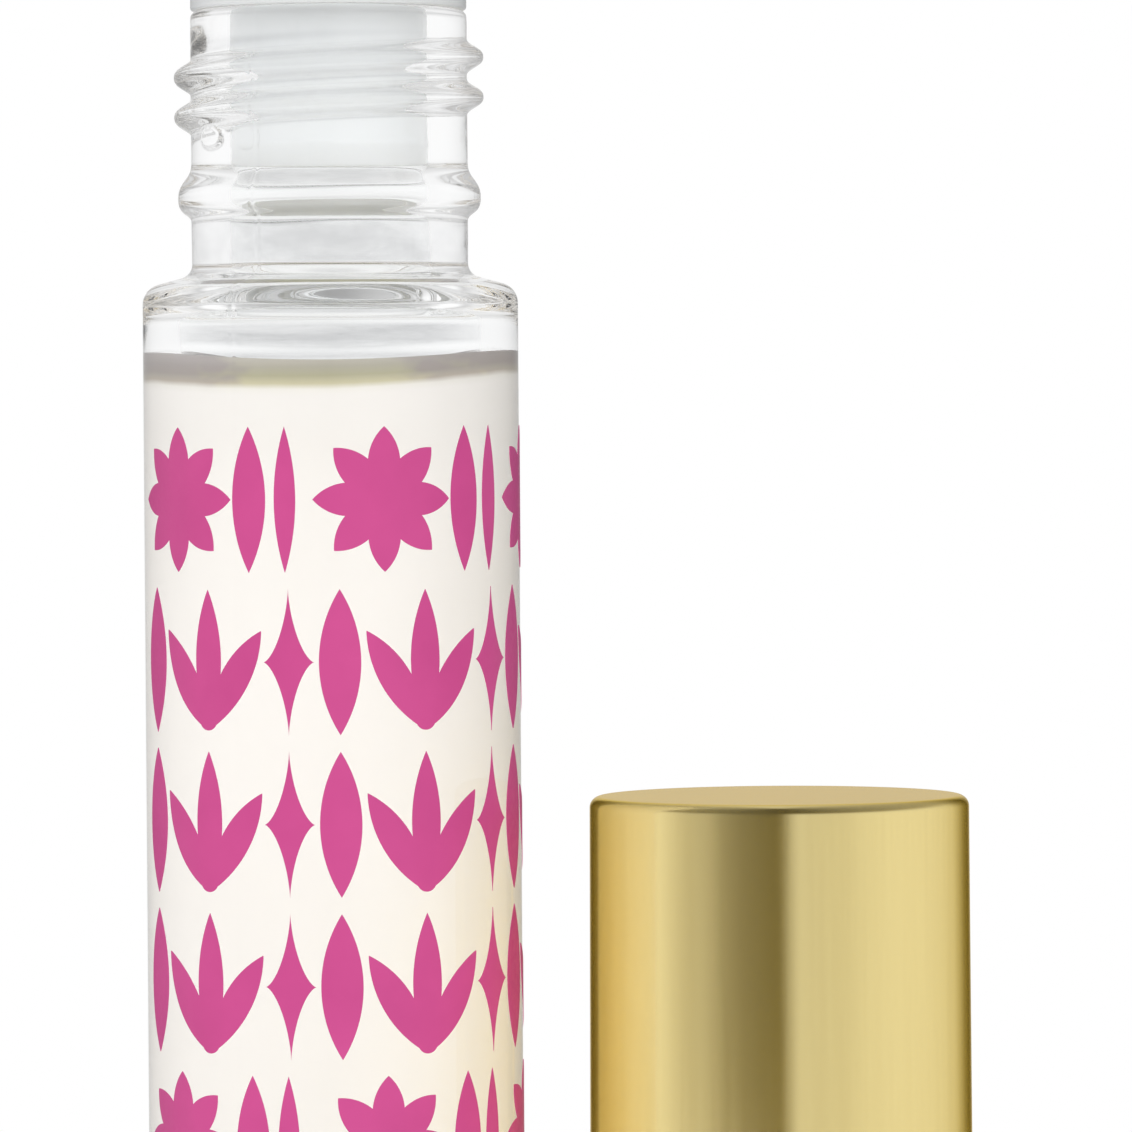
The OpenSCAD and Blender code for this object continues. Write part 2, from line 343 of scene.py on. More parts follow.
def housing_material():
    k = Mat("milky_polyethylene")
    cloud = k.noise(160, 3, 0.5)
    sep = k.node("ShaderNodeSeparateXYZ")
    k.link(k.co, sep.inputs[0])
    # painted shade: the thin skirt is paler than the thick rim, as less light comes through the rim
    rim_shade = k.maps(k.math("MULTIPLY_ADD", cloud, 0.0008, sep.outputs["Z"]), (LIP - 6.5) * MM, (LIP + 0.5) * MM, 0.0, 1.0)
    col = k.ramp(rim_shade, [(0.0, (0.77, 0.78, 0.785)), (0.25, (0.78, 0.79, 0.795)), (0.6, (0.71, 0.72, 0.725)), (1.0, (0.60, 0.61, 0.615))])
    # light soaks through to the inside of the skirt
    rad = k.math("SQRT", k.math("ADD", k.math("MULTIPLY", sep.outputs["X"], sep.outputs["X"]),
                                k.math("MULTIPLY", sep.outputs["Y"], sep.outputs["Y"])))
    within = k.math("MULTIPLY", k.maps(rad, 0.00435, 0.0045, 1.0, 0.0),
                    k.maps(sep.outputs["Z"], (LIP - 3.45) * MM, (LIP - 3.35) * MM, 1.0, 0.0))
    pale = k.node("ShaderNodeMix", data_type="RGBA")
    k.link(within, pale.inputs[0])
    k.link(col, pale.inputs[6])
    pale.inputs[7].default_value = (0.95, 0.955, 0.95, 1)
    col = pale.outputs[2]
    p = k.principled(Base_Color=col, Roughness=k.maps(k.noise(900, 3), 0.3, 0.7, 0.30, 0.42), IOR=1.5,
                     Subsurface_Weight=0.35, Subsurface_Scale=0.0015, Subsurface_Radius=(1.0, 1.0, 0.95),
                     Normal=k.bump(k.noise(1200, 2), 0.08, 0.00005))
    return k.surface(p.outputs[0])


def steel_material():
    k = Mat("polished_steel")
    fine = k.noise(1500, 4, 0.6)
    col = k.ramp(k.noise(120, 2), [(0.3, (0.60, 0.605, 0.615)), (0.7, (0.65, 0.655, 0.66))])
    p = k.principled(Base_Color=col, Metallic=1.0, Roughness=k.maps(fine, 0.3, 0.7, 0.05, 0.10),
                     Normal=k.bump(fine, 0.04, 0.00002))
    return k.surface(p.outputs[0])


def gold_material():
    """Anodised aluminium: a sharp pale gold sheen over a broad deep one, on very
    fine brushing along the drawing direction."""
    k = Mat("gold_anodised")
    streak = k.noise(1.0, 4, 0.65, k.mapped((2600, 2600, 60)))
    grain = k.noise(5200, 2, 0.5)
    both = k.math("ADD", k.math("MULTIPLY", streak, 0.7), k.math("MULTIPLY", grain, 0.3))
    normal = k.bump(both, 0.10, 0.00002)
    col = k.ramp(both, [(0.3, (0.885, 0.775, 0.415)), (0.7, (0.925, 0.815, 0.445))])
    a = k.principled(Base_Color=col, Metallic=1.0, Roughness=k.maps(both, 0.3, 0.7, 0.13, 0.18), Normal=normal,
                     Specular_Tint=(0.86, 0.72, 0.35))
    deep = k.ramp(both, [(0.3, (0.80, 0.53, 0.03)), (0.7, (0.87, 0.585, 0.04))])
    b = k.principled(Base_Color=deep, Metallic=1.0, Roughness=0.5, Normal=normal, Specular_Tint=(0.86, 0.58, 0.06))
    mix = k.node("ShaderNodeMixShader")
    mix.inputs[0].default_value = 0.3
    k.link(a.outputs[0], mix.inputs[1])
    k.link(b.outputs[0], mix.inputs[2])
    return k.surface(mix.outputs[0])


def liner_material():
    k = Mat("white_polypropylene")
    col = k.ramp(k.noise(140, 3), [(0.3, (0.83, 0.83, 0.815)), (0.7, (0.88, 0.88, 0.865))])
    p = k.principled(Base_Color=col, Roughness=k.maps(k.noise(1100, 3), 0.3, 0.7, 0.36, 0.5), IOR=1.49,
                     Normal=k.bump(k.noise(1600, 2), 0.1, 0.00004))
    return k.surface(p.outputs[0])


def foam_material():
    k = Mat("white_foam")
    cell = k.node("ShaderNodeTexVoronoi", feature="F1")
    cell.inputs["Scale"].default_value = 2600
    k.link(k.co, cell.inputs["Vector"])
    d = cell.outputs["Distance"]
    col = k.ramp(d, [(0.0, (0.80, 0.80, 0.79)), (0.6, (0.90, 0.90, 0.89))])
    p = k.principled(Base_Color=col, Roughness=0.72, Specular_IOR_Level=0.3, Normal=k.bump(d, 0.35, 0.00012))
    return k.surface(p.outputs[0])


GLASS, GLOSS, INK, HOUSING = glass_material(), gloss_material(), ink_material(), housing_material()
STEEL, GOLD, LINER, FOAM = steel_material(), gold_material(), liner_material(), foam_material()


# ---- glass bottle ---------------------------------------------------------------
SEAMS = (61.0, 241.0)
LUG = (215.0, ZS + 7.68)


def columns():
    th = list(np.linspace(0, 360, 300, endpoint=False))
    for s in SEAMS:
        th += [s + d for d in (-2.0, -1.5, -1.1, -0.8, -0.5, -0.25, 0, 0.25, 0.5, 0.8, 1.1, 1.5, 2.0)]
    th = sorted(set(round(t % 360, 4) for t in th))
    return [t for i, t in enumerate(th) if i == 0 or t - th[i - 1] > 0.12]


def thread(th, z):
    """Height of the right-hand ridge at angles th (degrees) and height z."""
    out = np.zeros_like(th)
    for turn in (-1, 0, 1):
        a = th + 360 * turn
        zc = ZS + 9.92 + PITCH * a / 360
        u = np.abs(z - zc) / 0.95
        f = np.where(u < 1, np.cos(PI / 2 * np.clip(u, 0, 1) ** 1.35) ** 2, 0)
        run = smooth01(np.minimum((a + 250) / 38, (545 - a) / 60))
        out = np.maximum(out, 0.88 * f * run)
    return out


BEAD_Z = [3.35, 3.5, 3.62, 3.8, 4.05, 4.35, 4.75, 5.1, 5.42, 5.72, 6.0, 6.35]
BEAD_R = [0, 0.03, 0.13, 0.43, 0.62, 0.7, 0.7, 0.63, 0.45, 0.22, 0.06, 0]


def seam(th, z):
    s = np.zeros_like(th)
    for a in SEAMS:
        d = np.radians(((th - a + 180) % 360) - 180)
        high = np.where(z > ZS - 2, 0.026, 0.008) * (1.0 if a > 180 else 0.4)
        s += high * np.exp(-((d * RN / 0.13) ** 2))
    return s


def outer_shift(r, z, th):
    neck = smooth01((z - (ZS + 1.9)) / 0.4) * smooth01((LIP - 0.45 - z) / 0.25)
    rr = r + neck * thread(th, z[0])
    # small lug under the lowest turn
    arc_mm = np.radians(((th - LUG[0] + 180) % 360) - 180) * RN
    d = (np.abs(arc_mm / 1.15) ** 2.4 + np.abs((z - LUG[1]) / 0.68) ** 2.4) ** (1 / 2.4)
    rr = rr + 0.2 * smooth01((1.0 - d) / 0.3)
    rr = rr + seam(th, z) * smooth01((LIP - 0.3 - z) / 0.3) * smooth01((z - 2.5) / 3.0)
    # the moulded wall isn't perfectly even
    t = np.radians(th)
    rr = rr + neck * (0.012 * np.sin(2 * t + 0.7) + 0.006 * np.sin(5 * t + z * 0.9))
    return rr, z


def inner_shift(r, z, th):
    t = np.radians(th)
    w = smooth01((z - (ZS - 3.7)) / 1.5) * smooth01((ZS + 5.2 - z) / 1.2)
    rr = r + w * (0.03 * np.sin(2 * t + 0.5 + 0.25 * z) + 0.02 * np.sin(3 * t + 1.1 * z))
    zz = z + w * (0.04 * np.sin(t + 0.4) + 0.03 * np.sin(3 * t + 2.0))
    return rr, zz


def bottle():
    zr = np.arange(ZS + 1.12, LIP - 0.42, 0.085)
    neck = [(RN + float(np.interp(z - ZS, BEAD_Z, BEAD_R)), float(z)) for z in zr]
    # soften the bead's polyline
    rn = np.array([p[0] for p in neck])
    for _ in range(2):
        rn[1:-1] = (rn[:-2] + 2 * rn[1:-1] + rn[2:]) / 4
    neck = list(zip(rn, zr))
    body = [(R, z) for z in np.linspace(2.2, ZS - 1.6, 12)]
    out = (
        [(0, 0.8), (1, 0.785), (2, 0.74), (3, 0.665), (4, 0.55), (4.8, 0.43), (5.5, 0.3), (6.05, 0.12), (6.4, 0.02), (6.8, 0.0)]
        + [(7.6, 0.0)]
        + arc(R - 1.6, 1.6, 1.6, -90, 0, 12)
        + body
        + arc(R - 1.1, ZS - 1.05, 1.1, 0, 74, 14)
        + arc(RN + 0.75, ZS + 1.096, 0.75, 254, 184, 10)
        + neck
        + arc(RN - 0.4, LIP - 0.4, 0.4, 0, 90, 8)
        + arc(RB + 0.45, LIP - 0.45, 0.45, 90, 180, 8)
    )
    k = len(out)
    inner = [(RB, z) for z in np.linspace(LIP - 1.2, ZS + 5.4, 7)]
    inner += [(RB, z) for z in np.linspace(ZS + 5.0, ZS + 0.7, 6)]
    inner += arc(RB + 1.2, ZS + 0.6, 1.2, 180, 255, 11)
    inner += arc(RI - 1.2, ZS - 2, 1.2, 75, 0, 15)
    inner += [(RI, z) for z in np.linspace(ZS - 2.15, ZS - 5, 7)]
    inner += [(RI, z) for z in np.linspace(ZS - 6, 6, 8)]
    inner += arc(RI - 2.2, 5.2, 2.2, 0, -90, 10) + [(3, 3.2), (0, 3.2)]
    split = out[-1][1]
    n_out = {id(p) for p in out}

    rows = {"i": 0}

    def shift(r, z, th):
        # rows come in order: the first k are the outside
        rows["i"] += 1
        return outer_shift(r, z, th) if rows["i"] <= k - 1 else inner_shift(r, z, th)

    return rev("glass_bottle_visual", out + inner, columns(), shift, angle=50)


glass = bottle()
put(glass, GLASS)
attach(glass, "bottle")
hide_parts("glass_bottle")


# ---- gloss ----------------------------------------------------------------------
def gloss():
    ro = RI + 0.03
    top = FILL_TOP              # contact line of the CAD solid
    base = [(0, 3.2 - 0.03), (3, 3.2 - 0.03)] + arc(RI - 2.2, 5.2, 2.23, -90, 0, 12)
    wall = [(ro, z) for z in np.linspace(7, top - 1.6, 14)] + [(ro, z) for z in np.linspace(top - 1.4, top - 0.02, 12)]
    men = [(ro - 0.06 - 1.75 * t, top - 1.2 + 1.2 * (1 - t) ** 2.4) for t in np.linspace(0.02, 1, 20)]
    flat = [(r, top - 1.2) for r in (5.2, 4.0, 2.5, 1.2)] + [(0, top - 1.2)]

    def shift(r, z, th):
        w = smooth01((z - (top - 3.0)) / 2.0)
        return r, z + w * (0.10 + 0.25 * np.cos(2 * np.radians(th)))

    return rev("cream_gloss", base + wall + men + flat, 192, shift, angle=40)


fill = gloss()
put(fill, GLOSS)
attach(fill, "bottle")
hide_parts("gloss_fill")


# ---- printed pattern -----------------------------------------------------------
INK_IN, INK_OUT = R + 0.004, R + 0.042
ROW_H, ROW_PITCH, ROW_START = 7.6, 8.45, -12.5


def circle_pts(cx, cy, r, a0, a1, n):
    return [(cx + r * math.cos(math.radians(a)), cy + r * math.sin(math.radians(a))) for a in np.linspace(a0, a1, n)]


def petal(w, h, n=30):
    q = (h * h + w * w) / (4 * w)
    a = math.degrees(math.asin(min(1, h / 2 / q)))
    right = circle_pts(w / 2 - q, 0, q, -a, a, n)
    left = circle_pts(q - w / 2, 0, q, 180 - a, 180 + a, n)
    return right + left[1:-1]


def turned(pts, deg, dx=0, dy=0):
    c, s = math.cos(math.radians(deg)), math.sin(math.radians(deg))
    return [(x * c - y * s + dx, x * s + y * c + dy) for x, y in pts]


def star(a, b, n=72):
    out = []
    for i in range(n):
        t = 2 * PI * i / n
        c, s = math.cos(t), math.sin(t)
        out.append((a * math.copysign(abs(c) ** 3, c), b * math.copysign(abs(s) ** 3, s)))
    return out


def radial_union(parts, centre=(0.0, 0.0), n=720):
    """Outline of star-shaped outlines that all hold the centre: the farthest one
    in each direction."""
    best = np.zeros(n)
    angs = np.linspace(0, 2 * PI, n, endpoint=False)
    for pts in parts:
        P = np.array(pts) - np.array(centre)
        Q = np.roll(P, -1, axis=0)
        E = Q - P
        for i, a in enumerate(angs):
            d = np.array((math.cos(a), math.sin(a)))
            den = d[0] * E[:, 1] - d[1] * E[:, 0]
            with np.errstate(divide="ignore", invalid="ignore"):
                t = (P[:, 0] * E[:, 1] - P[:, 1] * E[:, 0]) / den
                u = (P[:, 0] * d[1] - P[:, 1] * d[0]) / den
            ok = (np.abs(den) > 1e-12) & (t > 0) & (u >= 0) & (u <= 1)
            if ok.any():
                best[i] = max(best[i], t[ok].max())
    return [(centre[0] + r * math.cos(a), centre[1] + r * math.sin(a)) for r, a in zip(best, angs)]


def flower(r, w, n):
    parts = [turned(petal(w, r), -360 / n * k, (r / 2) * math.sin(math.radians(360 / n * k)),
                    (r / 2) * math.cos(math.radians(360 / n * k))) for k in range(n)]
    # petals that reach the centre, and the boss that joins them
    parts = [turned(petal(w, r * 1.02), 0, 0, r / 2 - 0.005)]
    parts = [turned(p, -360 / n * k) for k in range(n) for p in parts[:1]]
    return radial_union(parts + [circle_pts(0, 0, w * 0.62, 0, 354, 60)], n=960)


def sprig(h, w, spread):
    foot = (0.0, -h / 2 + 0.75)
    parts = [circle_pts(*foot, 0.6, 0, 354, 60)]
    for k in (-1, 0, 1):
        length = (h - 0.15) * (1 - 0.16 * abs(k))
        p = turned(petal(w, length), 0, 0, length / 2)
        parts.append(turned(p, spread * k, 0, -h / 2 + 0.15))
    return parts, foot


def polygon_union(parts):
    """Union of a few overlapping outlines, traced on a fine grid of directions
    from the foot they share."""
    foot = parts[1]
    out = []
    for pts in parts[0]:
        P = np.array(pts)
        out.append([tuple(p) for p in P])
    return radial_union(out, foot, 1080)


def motif(bm, pts, s, z):
    """Adds one inked shape: a flat outline, sliced across the arc so that it
    follows the glass, then given its thickness."""
    # drop repeated points
    clean = []
    for p in pts:
        if not clean or math.hypot(p[0] - clean[-1][0], p[1] - clean[-1][1]) > 0.012:
            clean.append(p)
    if math.hypot(clean[0][0] - clean[-1][0], clean[0][1] - clean[-1][1]) < 0.012:
        clean.pop()
    t = bmesh.new()
    vs = [t.verts.new((x + s, y + z, 0)) for x, y in clean]
    t.faces.new(vs)
    xs = [v.co.x for v in vs]
    step = 0.42
    cut = math.floor(min(xs) / step) * step + step
    while cut < max(xs) - 1e-4:
        geom = t.verts[:] + t.edges[:] + t.faces[:]
        bmesh.ops.bisect_plane(t, geom=geom, dist=1e-5, plane_co=(cut, 0, 0), plane_no=(1, 0, 0))
        cut += step
    bmesh.ops.triangulate(t, faces=[f for f in t.faces if len(f.verts) > 4])
    t.verts.ensure_lookup_table()
    if sum(f.normal.z * f.calc_area() for f in t.faces) < 0:
        bmesh.ops.reverse_faces(t, faces=t.faces[:])
    # edge walls: the boundary loops join the two skins
    bound = [e for e in t.edges if len(e.link_faces) == 1]
    index = {v: i for i, v in enumerate(t.verts)}
    outer, inner = [], []
    for v in t.verts:
        a = v.co.x / R - PI / 2
        outer.append(bm.verts.new((INK_OUT * math.cos(a) * MM, INK_OUT * math.sin(a) * MM, v.co.y * MM)))
        inner.append(bm.verts.new((INK_IN * math.cos(a) * MM, INK_IN * math.sin(a) * MM, v.co.y * MM)))
    for f in t.faces:
        ids = [index[v] for v in f.verts]
        bm.faces.new([outer[i] for i in ids])
        bm.faces.new([inner[i] for i in reversed(ids)])
    for e in bound:
        loop = e.link_loops[0]
        a, b = index[loop.vert], index[loop.link_loop_next.vert]
        bm.faces.new([outer[b], outer[a], inner[a], inner[b]])
    t.free()


def pattern():
    bm = bmesh.new()
    fl = flower(ROW_H / 2 - 0.05, 1.75, 8)
    broad, mid, slim = petal(1.9, ROW_H), petal(2.2, ROW_H), petal(1.15, ROW_H)
    sp = polygon_union(sprig(ROW_H - 0.1, 1.7, 32))
    st = star(1.35, ROW_H / 2)
    top = ZS - 11.35
    for k in range(5):
        z = top - ROW_PITCH * k
        for u in range(3):
            s = ROW_START + 12.1 * u
            if k in (0, 4):
                motif(bm, fl, s + 3.5, z)
                motif(bm, broad, s + 8.35, z)
                motif(bm, slim, s + 10.35, z)
            else:
                motif(bm, mid, s + 1.1, z)
                motif(bm, sp, s + 5.75, z)
                motif(bm, st, s + 10.5, z)
    me = bpy.data.meshes.new("ink_pattern")
    bm.to_mesh(me)
    bm.free()
    finish_mesh(me, 30)
    return link("ink_pattern", me)


ink = pattern()
put(ink, INK)
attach(ink, "bottle")
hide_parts("printed_pattern")
# the gloss glows evenly behind the print
ink.visible_shadow = ink.visible_glossy = ink.visible_diffuse = ink.visible_transmission = False


# ---- roller housing and ball ------------------------------------------------------
def housing():
    pr = RB - 0.06
    z0 = LIP - 8.8
    rings = []
    for k in range(3):
        zc = LIP - 7.2 + 2 * k
        rings += [(pr, zc - 0.3), (pr + 0.03, zc - 0.16), (pr + 0.045, zc), (pr + 0.03, zc + 0.16), (pr, zc + 0.3)]
    sr = BALL_R + 0.08
    rim = math.degrees(math.asin((HOUSE_TOP - 0.12 - BALL_Z) / sr))
    seat = -math.degrees(math.acos(3.0 / sr))
    prof = (
        [(4.3, z0), (4.42, z0 - 0.0), (pr - 0.3, z0), (pr - 0.08, z0 + 0.12), (pr, z0 + 0.45)]
        + rings
        + [(pr, LIP - 0.3), (pr, LIP + 0.005)]
        + [(RN - 0.2, LIP + 0.005)]
        + arc(RN - 0.17, LIP + 0.17, 0.165, -90, 0, 5)
        + arc(RN - 0.17, LIP + 1.03, 0.165, 0, 90, 5)
        + [(RN - 0.8, LIP + 1.2), (RN - 0.9, LIP + 1.23), (RN - 0.97, LIP + 1.35)]
        + [(RN - 1.32, HOUSE_TOP - 0.4)]
        + arc(RN - 1.62, HOUSE_TOP - 0.3, 0.3, 8, 90, 6)
        + [(sr * math.cos(math.radians(rim)) + 0.12, HOUSE_TOP), (sr * math.cos(math.radians(rim)) + 0.02, HOUSE_TOP - 0.05)]
        + [(sr * math.cos(math.radians(a)), BALL_Z + sr * math.sin(math.radians(a))) for a in np.linspace(rim, seat, 40)]
        + [(3.0, LIP - 3.4), (3.0, LIP - 3.55), (4.2, LIP - 3.55), (4.3, LIP - 3.65)]
    )
    return rev("roller_housing_visual", prof, 192, closed=True, angle=32)


house = housing()
put(house, HOUSING)
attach(house, "bottle")
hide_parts("roller_housing")


def ball():
    me = bpy.data.meshes.new("steel_ball")
    bm = bmesh.new()
    bmesh.ops.create_icosphere(bm, subdivisions=6, radius=BALL_R * MM)
    bmesh.ops.translate(bm, verts=bm.verts, vec=(0, 0, BALL_Z * MM))
    bm.to_mesh(me)
    bm.free()
    finish_mesh(me, 60)
    return link("steel_ball", me)


roller = ball()
put(roller, STEEL)
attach(roller, "roller_ball")
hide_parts("roller_ball")


# ---- cap ---------------------------------------------------------------------------
def cap_r(z):
    return CAP_RM - (CAP_RM - CAP_RT) * z / CAP_H


def shell():
    t, er = 0.4, 0.6
    ct = CAP_H - er
    prof = (
        [(0, CAP_H), (4, CAP_H), (7, CAP_H), (9, CAP_H)]
        + arc(cap_r(ct) - er, ct, er, 90, 0, 14)
        + [(cap_r(z), z) for z in np.linspace(ct - 1, 0.4, 16)]
        + arc(cap_r(0) - 0.16, 0.16, 0.16, 0, -90, 5)
        + arc(cap_r(0) - t + 0.12, 0.12, 0.12, -90, -180, 4)
        + [(cap_r(z) - t, z) for z in np.linspace(0.6, ct, 10)]
        + arc(cap_r(ct) - er, ct, er - t, 0, 90, 5)
        + [(6, CAP_H - t), (0, CAP_H - t)]
    )
    return rev("gold_cap_shell", prof, 256, centre=(CAP_X, 0), angle=40)


cap = shell()
put(cap, GOLD)
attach(cap, "cap")
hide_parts("cap_shell")


def liner():
    o = 0.43
    sk, lr = 9.0, 8.75
    zt = CAP_H - o
    web = CAP_H - 7.35

    def shift(r, z, th):
        if r[0] > lr + 0.02 or z[0] > web - 2 or z[0] < 7.25:
            return r, z
        out = np.zeros_like(th)
        for turn in (-1, 0, 1):
            a = th + 360 * turn
            u = np.abs(z - (10.585 + PITCH * a / 360)) / 0.66
            f = smooth01((1 - u) / 0.62)
            run = smooth01(np.minimum((a + 180) / 38, (270 - a) / 38))
            out = np.maximum(out, 0.98 * f * run)
        return r - out, z

    inner = [(lr, z) for z in np.arange(web - 1.95, 7.3, -0.1)]
    prof = (
        [(0, web), (4, web), (7, web), (lr - 0.12, web), (lr, web - 0.12), (lr, web - 1.25), (lr - 0.15, web - 1.35),
         (lr - 0.34, web - 1.45), (lr - 0.4, web - 1.55), (lr - 0.34, web - 1.66), (lr - 0.1, web - 1.8)]
        + inner
        + [(lr + 0.04, 7.26), (sk - 0.05, 7.1), (sk, 6.95), (sk, 0.9), (sk + 0.08, 0.72), (sk + 0.3, 0.48), (sk + 0.4, 0.41)]
        + [(cap_r(0.4) - o - 0.08, 0.4), (cap_r(0.4) - o, 0.5)]
        + [(cap_r(z) - o, z) for z in np.linspace(1.2, zt - 0.6, 12)]
        + [(cap_r(zt) - o - 0.5, zt), (lr + 0.25, zt), (lr + 0.15, zt - 0.1), (lr + 0.15, web + 1.25), (lr + 0.02, web + 1.1), (0, web + 1.1)]
    )
    ob = rev("cap_liner_visual", prof, 240, shift, centre=(CAP_X, 0), angle=35)
    # ribs and boss above the web join the same mesh
    bm = bmesh.new()
    bm.from_mesh(ob.data)

    def block(x0, x1, w, z0, z1, deg):
        vs = []
        c, s = math.cos(math.radians(deg)), math.sin(math.radians(deg))
        for x, y, z in [(x0, -w, z0), (x1, -w, z0), (x1, w, z0), (x0, w, z0), (x0, -w, z1), (x1, -w, z1), (x1, w, z1), (x0, w, z1)]:
            vs.append(bm.verts.new(((CAP_X + x * c - y * s) * MM, (x * s + y * c) * MM, z * MM)))
        for f in [(3, 2, 1, 0), (4, 5, 6, 7), (0, 1, 5, 4), (1, 2, 6, 5), (2, 3, 7, 6), (3, 0, 4, 7)]:
            bm.faces.new([vs[i] for i in f])

    for k in range(6):
        block(2.0, lr + 0.2, 0.45, web + 1.0, zt, 60 * k)
    bm.to_mesh(ob.data)
    bm.free()
    finish_mesh(ob.data, 35)
    boss = rev("tmp_boss", [(0, web + 1.0), (2.5, web + 1.0), (2.5, zt - 0.1), (2.4, zt), (0, zt)], 64, centre=(CAP_X, 0))
    bm = bmesh.new()
    bm.from_mesh(ob.data)
    bm.from_mesh(boss.data)
    bm.to_mesh(ob.data)
    bm.free()
    bpy.data.objects.remove(boss)
    finish_mesh(ob.data, 35)
    return ob


lin = liner()
put(lin, LINER)
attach(lin, "cap")
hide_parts("cap_liner")


def pad():
    z0, z1, r = PAD_LO[2], PAD_HI[2], (PAD_HI[0] - PAD_LO[0]) / 2
    prof = (
        [(0, z0 + 0.02), (2, z0 + 0.01), (5, z0), (7, z0), (r - 0.25, z0 + 0.01)]
        + arc(r - 0.16, z0 + 0.16, 0.16, -80, 0, 5)
        + arc(r - 0.16, z1 - 0.16, 0.16, 0, 80, 5)
        + [(7, z1), (3, z1), (0, z1)]
    )
    return rev("seal_pad_visual", prof, 192, centre=(CAP_X, 0), angle=40)


sp_ = pad()
put(sp_, FOAM)
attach(sp_, "seal_pad")
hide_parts("cap_seal_pad")


# ---- floor ------------------------------------------------------------------------
def floor():
    me = bpy.data.meshes.new("floor")
    n = 96
    rings = [0.0, 0.02, 0.04, 0.06, 0.075, 0.09, 0.106]
    co, faces = [(0.012, 0, 0)], []
    for r in rings[1:]:
        co += [(0.012 + r * math.cos(2 * PI * i / n), r * math.sin(2 * PI * i / n), 0) for i in range(n)]
    for i in range(n):
        j = (i + 1) % n
        faces.append((0, 1 + i, 1 + j))
        for k in range(len(rings) - 2):
            a, b = 1 + k * n, 1 + (k + 1) * n
            faces.append((a + i, b + i, b + j, a + j))
    me.from_pydata(co, [], faces)
    me.update()
    ob = link("floor", me)
    ob.location.z = -0.00002
    k = Mat("pale_floor")
    sep = k.node("ShaderNodeVectorMath", operation="LENGTH")
    k.link(k.co, sep.inputs[0])
    fade = k.maps(sep.outputs["Value"], 0.06, 0.104, 1.0, 0.0)
    # clear from below, so that the undersides can be seen
    back = k.node("ShaderNodeNewGeometry").outputs["Backfacing"]
    fade = k.math("MULTIPLY", fade, k.math("SUBTRACT", 1.0, back))
    grain = k.noise(400, 3)
    p = k.principled(Base_Color=k.ramp(grain, [(0.3, (0.90, 0.90, 0.895)), (0.7, (0.92, 0.92, 0.915))]), Roughness=0.9,
                     Specular_IOR_Level=0.1)
    t = k.node("ShaderNodeBsdfTransparent")
    mix = k.node("ShaderNodeMixShader")
    k.link(fade, mix.inputs[0])
    k.link(t.outputs[0], mix.inputs[1])
    k.link(p.outputs[0], mix.inputs[2])
    put(ob, k.surface(mix.outputs[0]))
    ob.visible_diffuse = False
    return ob


floor()


